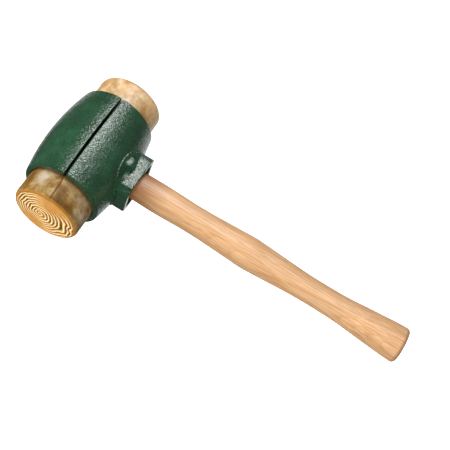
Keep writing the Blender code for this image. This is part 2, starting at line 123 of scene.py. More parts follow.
# ---------------------------------------------------------------- sizes of hide and wood
ROLL_COLUMNS = 336
ROLL_EDGE = 4.6 * MM                     # rounding of the striking face's rim
GROOVE_DEPTH = 1.5 * MM                  # between wraps that gape, on top of the least
GROOVE_LEAST = 0.1 * MM                  # between wraps that lie tight
FACE_SINK = 0.30 * MM                    # sunken places where the wraps gape
SEAM_STEP = 0.55 * MM                    # the strip's outer end, and the crease beside it
SEAM_CREASE = 0.5 * MM
CREASE_HALF = 0.75 * MM
HANDLE_COLUMNS = 96
KNEE_PLACE = 0.42                        # the grip's thickest place, its share of the way to the butt
KNEE_SWELL = 0.8 * MM
KNEE_LENGTH = 13 * MM
WEDGE_ROOM = 0.3 * MM
WEDGES = (("wood_wedge", False, 3.2 * MM, 0.8 * MM),       # node, lies across, thickness, tip
          ("steel_wedge_front", True, 2.0 * MM, 0.6 * MM),
          ("steel_wedge_rear", True, 2.0 * MM, 0.6 * MM))
PEBBLE_SIZE = 1.5 * MM
RING_SPACING = 1.5 * MM


def barrel_radius(along):
    """Outer radius of the barrel: the crown less a parabola of the distance from the middle."""
    return BARREL_RADIUS - CROWN * (along / BARREL_HALF) ** 2


# ---------------------------------------------------------------- numbers and noise
def steps(start, end, spacing):
    """Even values from start to end, no further apart than the spacing."""
    count = max(2, int(math.ceil(abs(end - start) / spacing)) + 1)
    return np.linspace(start, end, count)


def ease(value):
    """0 below 0, 1 above 1, and a smooth S between."""
    value = np.clip(value, 0.0, 1.0)
    return value * value * (3 - 2 * value)


def noise(points, size, seed):
    """Smooth noise from -1 to 1: random values on a cubic lattice, eased between its corners."""
    table = np.random.default_rng(seed).uniform(-1, 1, (32, 32, 32))
    cells = np.asarray(points) / size
    floor = np.floor(cells).astype(int)
    inside = ease(cells - floor)
    total = np.zeros(cells.shape[:-1])
    for corner in np.ndindex(2, 2, 2):
        share = np.prod(np.where(corner, inside, 1 - inside), axis=-1)
        x, y, z = np.moveaxis((floor + corner) % 32, -1, 0)
        total += share * table[x, y, z]
    return total


def layered_noise(points, size, seed, layers=3):
    """Noise with finer noise of half the size and half the strength on top of it."""
    return sum(noise(points, size / 2**i, seed + i) / 2**i for i in range(layers))


# ---------------------------------------------------------------- meshes from grids
def surface(name, grid, **attributes):
    """A closed solid: a grid of rows by columns, the columns joined in a ring, the ends capped."""
    grid = np.asarray(grid)
    rows, columns, _ = grid.shape
    order = np.arange(rows * columns).reshape(rows, columns)
    low, high = order[:-1], order[1:]
    quads = np.stack([low, np.roll(low, -1, 1), np.roll(high, -1, 1), high], -1).reshape(-1, 4)
    faces = quads.tolist() + [order[0][::-1].tolist(), order[-1].tolist()]
    mesh = bpy.data.meshes.new(name)
    mesh.from_pydata(grid.reshape(-1, 3).tolist(), [], faces)
    for label, values in attributes.items():
        layer = mesh.attributes.new(label, "FLOAT", "POINT")
        layer.data.foreach_set("value", np.ascontiguousarray(values, np.float32).ravel())
    mesh.validate()
    made = bpy.data.objects.new(name, mesh)
    bpy.context.scene.collection.objects.link(made)
    if signed_volume(mesh) < 0:
        mesh.flip_normals()
    return made


def signed_volume(mesh):
    """Sum of the tetrahedra from the origin to each face's triangles; positive if faces point out."""
    mesh.calc_loop_triangles()
    corners = np.empty(len(mesh.vertices) * 3)
    mesh.vertices.foreach_get("co", corners)
    index = np.empty(len(mesh.loop_triangles) * 3, int)
    mesh.loop_triangles.foreach_get("vertices", index)
    a, b, c = np.moveaxis(corners.reshape(-1, 3)[index.reshape(-1, 3)], 1, 0)
    return float(np.einsum("ij,ij->i", a, np.cross(b, c)).sum())


def shade(piece, angle):
    """Smooth faces, with sharp edges wherever two faces meet at more than the angle."""
    piece.data.shade_smooth()
    piece.data.set_sharp_from_angle(angle=math.radians(angle))


def boolean(piece, tool, operation="DIFFERENCE"):
    """Joins or cuts two solids and keeps the result in the piece's own mesh."""
    step = piece.modifiers.new("Join", "BOOLEAN")
    step.operation = operation
    step.solver = "MANIFOLD"
    step.object = tool
    bpy.context.view_layer.update()
    result = bpy.data.meshes.new_from_object(piece.evaluated_get(
        bpy.context.evaluated_depsgraph_get()))
    piece.modifiers.clear()
    piece.data = result
    bpy.data.objects.remove(tool)


def place(along, up, side):
    """Stacks distances along the head, towards the butt and to the side into points."""
    along, up, side = np.broadcast_arrays(along, up, side)
    return np.stack([up, side, MIDDLE + along], -1)


def brick(name, low, high):
    """A plain box between two corners, as a grid of two square rings."""
    (x0, y0, z0), (x1, y1, z1) = low, high
    ring = [(x0, y0), (x1, y0), (x1, y1), (x0, y1)]
    return surface(name, [[(x, y, z) for x, y in ring] for z in (z0, z1)])


def turned_bar(name, profile, along, columns=64):
    """A round bar along X: a profile of (radius, x) points turned round its own axis."""
    radius, x = np.array(profile).T
    turn = np.arange(columns) * 2 * math.pi / columns
    return surface(name, place(along + radius[:, None] * np.cos(turn), x[:, None],
                               radius[:, None] * np.sin(turn)))


# ---------------------------------------------------------------- the barrel castings
def barrel_profile():
    """(radius, along) round the iron, from the front bore's floor out over the rim to the rear."""
    spacing = 0.75 * MM
    arc_centre = BARREL_HALF - RIM_EDGE
    shoulder = barrel_radius(arc_centre) - RIM_EDGE
    turn = np.radians(np.linspace(90, 0, 9))
    floor = [(r, WEB_HALF) for r in steps(0.4 * MM, BORE_RADIUS, 3 * MM)]
    wall = [(BORE_RADIUS, a) for a in steps(WEB_HALF, BARREL_HALF - MOUTH_EDGE, 2.5 * MM)[1:]]
    mouth_turn = np.radians(np.linspace(180, 90, 5))[1:]
    mouth = [(BORE_RADIUS + MOUTH_EDGE * (1 + math.cos(t)),
              BARREL_HALF - MOUTH_EDGE * (1 - math.sin(t))) for t in mouth_turn]
    end = [(r, BARREL_HALF) for r in steps(BORE_RADIUS + MOUTH_EDGE, shoulder, 0.8 * MM)[1:-1]]
    edge = [(shoulder + RIM_EDGE * math.cos(t), arc_centre + RIM_EDGE * math.sin(t)) for t in turn]
    front = floor + wall + mouth + end + edge
    outer = [(barrel_radius(a), a) for a in steps(arc_centre, -arc_centre, spacing)[1:-1]]
    rear = [(r, -a) for r, a in reversed(front)]
    return np.array(front + outer + rear)


def barrel_columns():
    """Angles round the barrel from the +Y side, close together at the two slots."""
    near = np.array([0.0, 0.5, 0.8, 0.92, 1.0, 1.12, 1.3, 1.55, 1.85, 2.2, 2.7]) * SPLIT
    cluster = np.arcsin(near / BARREL_RADIUS)
    even = steps(cluster[-1], math.pi / 2, 0.75 * MM / BARREL_RADIUS)[1:]
    quarter = np.concatenate([cluster, even])
    half = np.concatenate([quarter, math.pi - quarter[-2:0:-1]])
    return np.concatenate([half, half + math.pi])


def split_inset(height, edge=SPLIT_EDGE):
    """How far a surface is drawn in near the slot: a quarter circle up to the split face."""
    depth = np.clip(np.abs(height) - SPLIT, 0, edge)
    return edge - np.sqrt(edge**2 - (edge - depth) ** 2)


def barrel_blank(name, seed):
    """The profile turned about the head's axis, then moved along its normal by cast unevenness."""
    profile = barrel_profile()
    slope = np.gradient(profile, axis=0)
    normal = np.stack([-slope[:, 1], slope[:, 0]], -1)
    normal /= np.linalg.norm(normal, axis=1, keepdims=True)
    angle = barrel_columns()[None, :]
    radius, along = profile[:, :1], profile[:, 1:]
    points = place(along, radius * np.sin(angle), radius * np.cos(angle))
    outside = ease((radius - BORE_RADIUS - 1 * MM) / (1 * MM))
    uneven = UNEVEN_BARREL * (noise(points, 17 * MM, seed) - 1)
    uneven += UNEVEN_SAND * noise(points, 3.2 * MM, seed + 7)
    shift = outside * uneven - split_inset(points[..., 0]) * (radius > BORE_RADIUS - 0.1 * MM)
    radius = radius + normal[:, :1] * shift
    along = along + normal[:, 1:] * shift
    return surface(name, place(along, radius * np.sin(angle), radius * np.cos(angle)))


def cut_casting(casting, sign):
    """Split face and the two cored pockets beside the central rib; sign is +1 for the base."""
    far = 3 * BARREL_RADIUS
    low, high = sorted((sign * SPLIT, -sign * far))
    boolean(casting, brick("split_cut", (low, -far, MIDDLE - far), (high, far, MIDDLE + far)))
    inner = CORE_INNER * BAND_HALF_WIDTH
    outer = BARREL_RADIUS * math.sqrt(1 - CORE_DEEP**2) - CORE_WALL
    deep = CORE_DEEP * BARREL_RADIUS - 0.25 * CORE_WALL
    reach = WEB_HALF - CORE_WALL
    low, high = sorted((-sign * 5 * MM, sign * deep))
    for side in (1, -1):
        left, right = sorted((side * inner, side * outer))
        boolean(casting, brick("pocket_cut", (low, left, MIDDLE - reach), (high, right, MIDDLE + reach)))


# ---------------------------------------------------------------- the handle socket
def band_outline(inset=0.0, per_side=22, corner=BAND_CORNER):
    """Eight-sided outline as (along, side) points, moved in by the inset, its corners rounded."""
    length, width = BAND_HALF_LENGTH - inset, BAND_HALF_WIDTH - inset
    cut_l, cut_w = BAND_CUT_LENGTH - 0.45 * inset, BAND_CUT_WIDTH - 0.45 * inset
    quarter = [(length, width - cut_w), (length - cut_l, width)]
    half = quarter + [(-a, s) for a, s in reversed(quarter)]
    corners = np.array(half + [(-a, -s) for a, s in half])
    share = np.arange(per_side)[None, :, None] / per_side
    fine = (corners[:, None] * (1 - share) + np.roll(corners, -1, 0)[:, None] * share).reshape(-1, 2)
    gap = np.linalg.norm(np.roll(fine, -1, 0) - fine, axis=1).mean()
    reach = max(1, int(round(corner / gap)))
    return sum(np.roll(fine, k, 0) for k in range(-reach, reach + 1)) / (2 * reach + 1)


def ring_at(outline, height):
    """A flat ring with the given outline at one height towards the butt."""
    return place(outline[:, 0], height, outline[:, 1])


def skirt_ring(radius, lift):
    """A circle round the handle's axis laid on the barrel, then lifted off it."""
    spokes = band_outline()
    angle = np.arctan2(spokes[:, 1], spokes[:, 0])
    along, side = radius * np.cos(angle), radius * np.sin(angle)
    return place(along, np.sqrt(barrel_radius(along) ** 2 - side**2) + lift, side)


def socket_rings():
    """From inside the barrel up the skirt, its scoop and the band, then down into the recess.

    The scoop is the straight blend from skirt to band, less a half sine that is deepest
    towards the front, plus a flat-topped swell towards the rear.
    """
    start, edge = BAND_END - BAND_HEIGHT, 0.9 * MM
    turn = np.radians(np.linspace(0, 90, 5))
    rings = [skirt_ring(SKIRT_RADIUS - 2 * MM, -5 * MM), skirt_ring(SKIRT_RADIUS, -1.5 * MM)]
    lip = 0.8 * MM
    rings += [skirt_ring(SKIRT_RADIUS - lip * (1 - math.cos(t)), SKIRT_LIP - lip * (1 - math.sin(t)))
              for t in turn]
    outer = skirt_ring(SKIRT_RADIUS - 1.8 * MM, SKIRT_LIP * 0.8)
    wide, tight = ring_at(band_outline(0.0), start - 1.0 * MM), ring_at(band_outline(BAND_STEP), start)
    room = ease((np.linalg.norm(outer[:, 1:] - wide[:, 1:], axis=1) - 2 * MM) / (5.5 * MM))[:, None]
    neck = wide + (tight - wide) * room
    forward = outer[:, 2] - MIDDLE
    hollow = ease((forward - 3 * MM) / (3 * MM)) * ease((19 * MM - forward) / (5 * MM))
    swell = ease((forward + 12 * MM) / (4 * MM)) * ease((5 * MM - forward) / (3 * MM))
    for share in np.linspace(0, 1, 16):
        ring = outer * (1 - share) + neck * share
        sag = (0.4 + 2.6 * hollow) * math.sin(math.pi * share) ** 0.8
        sag = (sag - 4.8 * swell * ease(2.2 * share) * ease(4.5 * (1 - share))) * MM * room[:, 0]
        ring[:, 0] -= 0.75 * sag
        ring[:, 1] -= 0.65 * sag * np.sign(ring[:, 1])
        rings.append(ring)
    for t in turn[1:]:
        ring = neck + (wide - neck) * math.sin(t)
        ring[:, 0] = neck[:, 0] + 0.6 * MM * (1 - math.cos(t))
        rings.append(ring)
    rings += [ring_at(band_outline(0.0), x) for x in steps(start + 0.9 * MM, BAND_END - edge, 1.1 * MM)]
    rings += [ring_at(band_outline(edge * (1 - math.cos(t))), BAND_END - edge * (1 - math.sin(t)))
              for t in turn[1:]]
    mouth = 0.8 * MM
    rings += [ring_at(band_outline(i), BAND_END) for i in steps(edge, BAND_WALL - mouth, 1 * MM)[1:]]
    rings += [ring_at(band_outline(BAND_WALL - mouth * (1 - math.sin(t))),
                      BAND_END - mouth * (1 - math.cos(t))) for t in turn[1:]]
    rings += [ring_at(band_outline(BAND_WALL + 0.5 * MM * t), BAND_END - mouth - t * (RECESS_DEPTH - mouth))
              for t in np.linspace(0, 1, 5)[1:]]
    return np.array(rings)


def build_socket(name, seed):
    """The rings, pushed in and out a little by the cast unevenness."""
    rings = socket_rings()
    axis = np.array([0.0, 0.0, MIDDLE])
    away = rings - axis
    away[..., 0] = 0
    away /= np.linalg.norm(away, axis=-1, keepdims=True)
    rings += away * (UNEVEN_SOCKET * (noise(rings, 8 * MM, seed) - 1))[..., None]
    return surface(name, rings)


def oval_rings(half_width, x, grow=0.0, columns=72):
    """Ovals round the handle's axis, one for each half width and place."""
    turn = np.arange(columns) * 2 * math.pi / columns
    wide = (np.asarray(half_width)[:, None] + grow) * np.cos(turn)
    thick = (np.asarray(half_width)[:, None] * HANDLE_OVAL + grow) * np.sin(turn)
    return place(wide, np.asarray(x)[:, None], thick)


def tenon_half_width(x):
    """An even taper from the floor of the recess to the wedged end."""
    return TENON_HALF_WIDTH + TENON_TAPER * (x - handle_low.x) / (BAND_END - RECESS_DEPTH - handle_low.x)


def screw_places():
    """Each clamp screw's word, its place along the head, and where it starts and ends along X."""
    for word in ("front", "rear"):
        low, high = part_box("clamp_screw_" + word)
        yield word, (low.z + high.z) / 2 - MIDDLE, low.x, high.x


def build_base():
    """Half barrel with the socket joined on, then the tapered eye and the two tapped holes cut."""
    casting = barrel_blank("iron_base", 11)
    boolean(casting, build_socket("socket", 23), "UNION")
    cut_casting(casting, 1)
    eye = np.array([-4 * MM, BAND_END - RECESS_DEPTH + 2 * MM])
    boolean(casting, surface("eye_cut", oval_rings(tenon_half_width(eye), eye, EYE_FIT)))
    for _, along, _, high_x in screw_places():
        hole = [(TAPPED_RADIUS, -5 * MM), (TAPPED_RADIUS, high_x + 3 * MM), (0.3 * MM, high_x + 5 * MM)]
        boolean(casting, turned_bar("tapped_cut", hole, along))
    return casting


def build_cap():
    """Half barrel with room for the wedged tenon and a clearance hole and counterbore per screw."""
    casting = barrel_blank("iron_cap", 57)
    cut_casting(casting, -1)
    reach = TENON_HALF_WIDTH - 2.25 * MM
    wide = CAP_EYE_HALF * BARREL_RADIUS
    boolean(casting, brick("centre_cut", (-CAP_EYE_DEEP * BARREL_RADIUS, -wide, MIDDLE - reach),
                           (5 * MM, wide, MIDDLE + reach)))
    for _, along, low_x, _ in screw_places():
        hole = [(CLEARANCE_RADIUS, -2 * BARREL_RADIUS), (CLEARANCE_RADIUS, 5 * MM)]
        boolean(casting, turned_bar("clearance_cut", hole, along))
        crest = -barrel_radius(along)
        seat = low_x + SCREW_HEAD_HEIGHT + WASHER_SPACE
        bore = [(COUNTERBORE_RADIUS + COUNTERBORE_FLARE, crest - 1.4 * MM),
                (COUNTERBORE_RADIUS, crest + 0.8 * MM), (COUNTERBORE_RADIUS, seat)]
        boolean(casting, turned_bar("counterbore_cut", bore, along))
    return casting


# ---------------------------------------------------------------- rolled rawhide
def ring_share(up, side, centre):
    """0 at the centre of the roll, 1 at the rim, on circles whose middles slide from one to the other."""
    du, ds = up - centre[0], side - centre[1]
    lean = du * centre[0] + ds * centre[1]
    room = PLUG_RADIUS**2 - centre[0] ** 2 - centre[1] ** 2
    return (lean + np.sqrt(lean**2 + room * (du**2 + ds**2))) / room


def roll_end(up, side, roll):
    """Wraps of the strip seen on its end: (wrap count, how far the wraps gape, 0 to 1)."""
    share = ring_share(up, side, roll["centre"])
    middle_up, middle_side = (c * (1 - share) for c in roll["centre"])
    angle = np.arctan2(side - middle_side, up - middle_up)
    flat = np.stack([up, side, np.full_like(up, roll["seed"] * MM)], -1)
    toward = np.cos(angle - roll["gape_angle"])
    gape = 0.10 + 0.90 * np.where(toward > 0, toward**2, 0.8 * toward**2)
    gape = np.clip(gape * (0.85 + 0.35 * noise(flat, 11 * MM, roll["seed"])), 0, 1)
    gape = gape + (0.60 - gape) * ease((0.50 - share) * 5) * (gape < 0.60)
    gape *= 0.5 + 0.5 * ease(share * 4)
    from_seam = np.mod(roll["turn"] * (angle - roll["seam_angle"]), 2 * math.pi) / (2 * math.pi)
    sway = 0.5 * noise(flat, 13 * MM, roll["seed"] + 3)
    ripple = 0.5 * noise(flat, 5.5 * MM, roll["seed"] + 5) * gape**1.2
    loose = ease((1 - share) * 7)
    return roll["wraps"] * share + from_seam + (sway + ripple) * loose * ease(share * 4), gape


def patch_on_side(angle, along, middle, wide, forward, long, strength):
    """A soft oval patch on the roll's side: a Gaussian of the arc and of the distance along."""
    arc = (np.mod(angle - middle + math.pi, 2 * math.pi) - math.pi) * PLUG_RADIUS / (wide * MM)
    return strength * np.exp(-arc**2 - ((along - BARREL_HALF - forward * MM) / (long * MM)) ** 2)


def roll_profile():
    """(radius, along) from the seated end's centre, up the side, over the edge to the face's centre."""
    edge, lead, spacing = ROLL_EDGE, 1.0 * MM, 0.3 * MM
    seat = [(r, PLUG_SEAT) for r in steps(0.2 * MM, PLUG_RADIUS - lead, 3 * MM)]
    side = [(PLUG_RADIUS, a) for a in steps(PLUG_SEAT + lead, PLUG_END - edge, 0.8 * MM)]
    turn = np.radians(np.linspace(0, 90, 10))[1:]
    corner = [(PLUG_RADIUS - edge + edge * math.cos(t), PLUG_END - edge + edge * math.sin(t)) for t in turn]
    face = [(r, PLUG_END) for r in steps(PLUG_RADIUS - edge, 0.15 * MM, spacing)[1:]]
    return np.array(seat + side + corner + face)


def build_roll(name, roll):
    """The profile turned about the head's axis; the face sinks between wraps and the seam is a step."""
    profile = roll_profile()
    radius, along = profile[:, :1], profile[:, 1:]
    even = np.arange(ROLL_COLUMNS) * 2 * math.pi / ROLL_COLUMNS
    close = roll["seam_angle"] + np.linspace(-0.07, 0.07, 25)
    angle = np.unique(np.round(np.mod(np.concatenate([even, close]), 2 * math.pi), 5))[None, :]
    up, side = radius * np.cos(angle), radius * np.sin(angle)
    wrap, gape = roll_end(up, side, roll)
    to_gap = np.abs(wrap - np.round(wrap))
    groove = np.exp(-(to_gap / (0.10 + 0.10 * gape)) ** 2)
    on_face = ease((PLUG_RADIUS - 1.8 * MM - radius) / (2.4 * MM)) * (along > PLUG_END - 1 * MM)
    lip = ease((along - PLUG_END + 2.6 * MM) / (2.4 * MM))
    flat = np.stack([up, side, np.full_like(up, 3.0)], -1)
    sink = GROOVE_DEPTH * gape * groove + FACE_SINK * (1 + noise(flat, 7 * MM, roll["seed"] + 9)) * gape
    sink += GROOVE_LEAST * groove
    drop = on_face * sink
    lean = roll["seam_lean"] * (along - BARREL_HALF) / PLUG_RADIUS
    lean += 0.012 * noise(np.stack([along, along, along], -1), 5 * MM, roll["seed"] + 50)
    past_seam = np.mod(roll["turn"] * (angle - roll["seam_angle"] - lean), 2 * math.pi)
    before_seam = 2 * math.pi - past_seam
    crease = np.exp(-(np.minimum(past_seam, before_seam) * PLUG_RADIUS / CREASE_HALF) ** 2)
    on_side = ease((along - PLUG_SEAT) / (2 * MM)) * (radius > PLUG_RADIUS - ROLL_EDGE - 0.1 * MM)
    points = place(along + 0 * angle, up, side)
    skin = 0.10 * MM + 0.13 * MM * (1 + layered_noise(points, 13 * MM, roll["seed"] + 20))
    step = SEAM_STEP * (1 - ease(past_seam / 0.9)) + SEAM_CREASE * crease
    pull = on_side * (np.clip(skin, 0, 1) + step)
    out = radius - pull
    where = place(along - drop, out * np.cos(angle), out * np.sin(angle))
    if roll["end"] < 0:
        where[..., 2] = 2 * MIDDLE - where[..., 2]
    ridge = np.cos(np.clip(to_gap * 2, 0, 1) * math.pi / 2)
    # Painted shade: the hide seen through the slot, inside the barrel, is painted near black.
    slot = ease((BARREL_HALF - 0.4 * MM - along) / (0.8 * MM)) * np.exp(-(up / (1.9 * MM)) ** 4)
    # Painted shade: the hide is darkened just past the barrel's rim, where the rim shades it.
    rim_shade = ease((BARREL_HALF + 2.6 * MM - along) / (2.4 * MM))
    rim_shade = rim_shade * (0.75 + 0.25 * noise(points, 6 * MM, 9))
    patchy = 0.7 + 0.5 * layered_noise(points, 5 * MM, roll["seed"] + 40)
    # The pale patches are chalky hide, and the strongest front one is a painted highlight.
    dry, brown = (sum(patch_on_side(angle, along, *p) for p in roll[kind]) for kind in ("dry", "brown"))
    return surface(name, where, groove=on_face * groove * (0.25 + 0.75 * gape),
                   crest=on_face * (1 - ridge), face=lip + 0 * angle,
                   lip=lip * (1 - on_face) + 0 * angle, gape=on_face * gape,
                   seam=on_side * crease, grime=on_side * slot, rim=on_side * rim_shade,
                   dry=np.clip(dry * patchy * 1.6, 0, 1),
                   brown=np.clip(brown * (0.5 + 0.6 * patchy), 0, 1))


# ---------------------------------------------------------------- handle
def handle_stations():
    """(x, half width) of each ring of the CAD handle past its tenon, read off its solid."""
    points = np.array([v.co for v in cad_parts["handle"].data.vertices])
    places = np.unique(np.round(points[:, 0], 5))
    places = places[places > BAND_END - 8.1 * MM]
    halves = [np.abs(points[np.abs(points[:, 0] - x) < 5e-5][:, 2] - MIDDLE).max() for x in places]
    return places, np.array(halves)


def build_handle():
    """Ovals along X, smoothed between the CAD's stations, with a wedge-shaped kerf in the tenon."""
    x, half = handle_stations()
    root = BAND_END - RECESS_DEPTH
    fine = np.concatenate([steps(x[0], BUTT - 4.2 * MM, 1.2 * MM), x[x > BUTT - 4.1 * MM],
                           np.linspace(BUTT - 1.0 * MM, BUTT, 4)])
    fine = np.unique(np.round(fine, 5))
    wide = np.interp(fine, x, half)
    inner = fine < BUTT - 5 * MM
    kernel = np.hanning(15) / np.hanning(15).sum()
    padded = np.pad(wide[inner], 7, mode="edge")
    wide[inner] = np.convolve(padded, kernel, "valid")
    knee = BAND_END + KNEE_PLACE * (BUTT - BAND_END)
    wide += KNEE_SWELL * np.exp(-np.hypot(fine - knee, 1.5 * MM) / KNEE_LENGTH)
    tenon_x = steps(handle_low.x, root - 0.3 * MM, 3 * MM)
    all_x = np.concatenate([tenon_x, fine])
    all_wide = np.concatenate([tenon_half_width(tenon_x), wide])
    last = wide[inner][-1]
    rings = oval_rings(all_wide, all_x, columns=HANDLE_COLUMNS)
    thin = np.minimum(all_wide * HANDLE_OVAL, np.where(all_x > BUTT - 5 * MM,
                                                       last * HANDLE_OVAL - (last - all_wide), 1.0))
    turn = np.arange(HANDLE_COLUMNS) * 2 * math.pi / HANDLE_COLUMNS
    rings[..., 1] = thin[:, None] * np.sin(turn)
    rings[..., 1:] += ((np.array([0, MIDDLE]) - rings[..., 1:]) * 0.004
                       * (1 + noise(rings, 30 * MM, 5))[..., None])
    handle = surface("hickory_handle", rings)
    for node, across, thick, tip in WEDGES:
        cut_wedge(handle, node, across, thick, tip)
    return handle


def cut_wedge(handle, node, across, thick, tip):
    """Cuts the slit for a wedge: the wedge's own taper, a little larger all round."""
    low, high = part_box(node)
    grow, over = WEDGE_ROOM, 3 * MM
    steep = (thick - tip) / 2 / (high.x - low.x)
    x = np.array([low.x - over, high.x + grow])
    half = np.array([thick / 2 + over * steep, tip / 2]) + grow
    wide = ((high.y - low.y) if across else (high.z - low.z)) / 2 + grow
    centre = (low.z + high.z) / 2 - MIDDLE
    corners = np.array([(-1, -1), (1, -1), (1, 1), (-1, 1)])
    thin_way, wide_way = half[:, None] * corners[:, 0], wide * corners[:, 1] + 0 * half[:, None]
    along, side = (centre + thin_way, wide_way) if across else (centre + wide_way, thin_way)
    boolean(handle, surface("slit_cut", place(along, x[:, None], side)))


# ---------------------------------------------------------------- clamp screws and washers
def build_screw(word, along, low_x, high_x):
    """Head with a knurled side, shank with a single thread; radius is a function of turn and x."""
    columns = 96
    head_end = low_x + SCREW_HEAD_HEIGHT
    turn = np.arange(columns) * 2 * math.pi / columns
    head = [(0.2 * MM, low_x)]
    head += [(SCREW_HEAD_RADIUS - SCREW_HEAD_EDGE * (1 - math.sin(t)),
              low_x + SCREW_HEAD_EDGE * (1 - math.cos(t))) for t in np.radians(np.linspace(0, 90, 5))]
    head += [(SCREW_HEAD_RADIUS, x) for x in steps(low_x + SCREW_HEAD_EDGE, head_end - 0.3 * MM, 1 * MM)[1:]]
    head += [(SCREW_HEAD_RADIUS - 0.3 * MM, head_end), (SCREW_RADIUS, head_end)]
    head = np.array(head)
    x = np.concatenate([head[:, 1], steps(head_end + 0.2 * MM, high_x, THREAD_PITCH / 9)])[:, None]
    plain = np.concatenate([head[:, 0], np.full(len(x) - len(head), SCREW_RADIUS)])[:, None]
    phase = np.mod((x - high_x) / THREAD_PITCH + turn / (2 * math.pi), 1.0)
    cut = np.clip(1.1 * THREAD_DEPTH * (1 - np.abs(2 * phase - 1)), 0, THREAD_DEPTH)
    threaded = ease((x - head_end - THREAD_START) / (1.5 * MM))
    tip = 0.9 * MM * ease((x - high_x + 1.0 * MM) / (1.0 * MM))
    knurl = 0.14 * MM * (0.5 - 0.5 * np.cos(turn * 32)) * (plain > SCREW_HEAD_RADIUS - 0.1 * MM)
    radius = plain - threaded * cut - tip - knurl
    screw = surface("clamp_screw_detail_" + word,
                    place(along + radius * np.cos(turn), x, radius * np.sin(turn)))
    corner = HEX_ACROSS / math.sqrt(3)
    socket = [(corner * 1.12, low_x - 1 * MM), (corner, low_x + 0.4 * MM), (corner, low_x + 4.5 * MM),
              (0.2 * MM, low_x + 5.6 * MM)]
    boolean(screw, turned_bar("hex_socket_cut", socket, along, columns=6))
    return screw


def build_washer(word):
    """A split spring washer: a rounded square section carried round nearly a full turn, rising."""
    low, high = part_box("lock_washer_" + word)
    along, middle_x = (low.z + high.z) / 2 - MIDDLE, (low.x + high.x) / 2
    corner = np.arange(16) * 2 * math.pi / 16
    box_x = WASHER_HALF * np.sign(np.sin(corner)) * np.abs(np.sin(corner)) ** 0.35
    box_r = (WASHER_OUTER - WASHER_INNER) / 2 * np.sign(np.cos(corner)) * np.abs(np.cos(corner)) ** 0.35
    turn = np.linspace(0.12, 2 * math.pi - 0.12, 90)[:, None] + math.pi / 2
    rise = WASHER_RISE * np.linspace(-1, 1, 90)[:, None]
    radius = (WASHER_OUTER + WASHER_INNER) / 2 + box_r
    return surface("spring_washer_" + word,
                   place(along + radius * np.cos(turn), middle_x + box_x + rise, radius * np.sin(turn)))


# ---------------------------------------------------------------- materials
def linear(code):
    """An sRGB hex colour as linear RGBA."""
    values = [int(code[i:i + 2], 16) / 255 for i in (1, 3, 5)]
    return (*[v / 12.92 if v <= 0.04045 else ((v + 0.055) / 1.055) ** 2.4 for v in values], 1.0)


def add(tree, kind, settings=None, **inputs):
    """Adds a node; settings are its properties, inputs are values or sockets to link, _ for spaces."""
    node = tree.nodes.new(kind)
    for key, value in (settings or {}).items():
        setattr(node, key, value)
    for key, value in inputs.items():
        name = key.replace("_", " ")
        socket = node.inputs[int(name[1:])] if name[0] == "i" and name[1:].isdigit() else node.inputs[name]
        if isinstance(value, bpy.types.NodeSocket):
            tree.links.new(value, socket)
        elif isinstance(value, str):
            socket.default_value = linear(value)
        else:
            socket.default_value = value
    return node


def start_material(name, **shader):
    """A new material with one Principled shader, its constants set on its own sockets."""
    made = bpy.data.materials.new(name)
    made.use_nodes = True
    tree = made.node_tree
    tree.nodes.clear()
    principled = add(tree, "ShaderNodeBsdfPrincipled", **shader)
    out = add(tree, "ShaderNodeOutputMaterial")
    tree.links.new(principled.outputs["BSDF"], out.inputs["Surface"])
    return made, tree, principled


def object_place(tree, middle=(0.0, 0.0, 0.0), scale=(1.0, 1.0, 1.0)):
    """Object coordinates, centred and stretched by a Mapping node."""
    where = add(tree, "ShaderNodeTexCoord").outputs["Object"]
    offset = [-m * s for m, s in zip(middle, scale)]
    return add(tree, "ShaderNodeMapping", Vector=where, Location=offset, Scale=scale).outputs["Vector"]


def grain(tree, where, size, detail=3.0, roughness=0.5, distortion=0.0):
    """Noise whose features are about the given size in metres."""
    return add(tree, "ShaderNodeTexNoise", Vector=where, Scale=1 / size, Detail=detail,
               Roughness=roughness, Distortion=distortion).outputs["Fac"]


def ramp(tree, value, stops):
    """Colours along a value, as (position, hex) stops."""
    node = add(tree, "ShaderNodeValToRGB", Fac=value)
    marks = node.color_ramp.elements
    while len(marks) < len(stops):
        marks.new(0.5)
    for mark, (position, code) in zip(marks, stops):
        mark.position = position
        mark.color = linear(code)
    return node.outputs["Color"]


def span(tree, value, low, high, to_low=0.0, to_high=1.0):
    """Maps a value from one range to another and clamps it."""
    return add(tree, "ShaderNodeMapRange", {"clamp": True}, Value=value, From_Min=low, From_Max=high,
               To_Min=to_low, To_Max=to_high).outputs["Result"]


def mix(tree, share, first, second, blend="MIX"):
    """Two colours, each a socket or a hex code, mixed by a share from 0 to 1."""
    node = add(tree, "ShaderNodeMix", {"data_type": "RGBA", "blend_type": blend, "clamp_factor": True})
    for index, value in ((0, share), (6, first), (7, second)):
        if isinstance(value, bpy.types.NodeSocket):
            tree.links.new(value, node.inputs[index])
        else:
            node.inputs[index].default_value = linear(value) if isinstance(value, str) else value
    return node.outputs[2]


def maths(tree, operation, first, second=0.0):
    """The result of one Math node on two values or sockets."""
    return add(tree, "ShaderNodeMath", {"operation": operation}, i0=first, i1=second).outputs[0]


def bump(tree, height, depth, before=None):
    """A bump whose height of 1 stands for the given depth in metres."""
    node = add(tree, "ShaderNodeBump", Height=height, Distance=depth, Strength=1.0)
    if before is not None:
        tree.links.new(before, node.inputs["Normal"])
    return node.outputs["Normal"]


def attribute(tree, name):
    """A number that the mesh carries on its points."""
    return add(tree, "ShaderNodeAttribute", {"attribute_name": name}).outputs["Fac"]


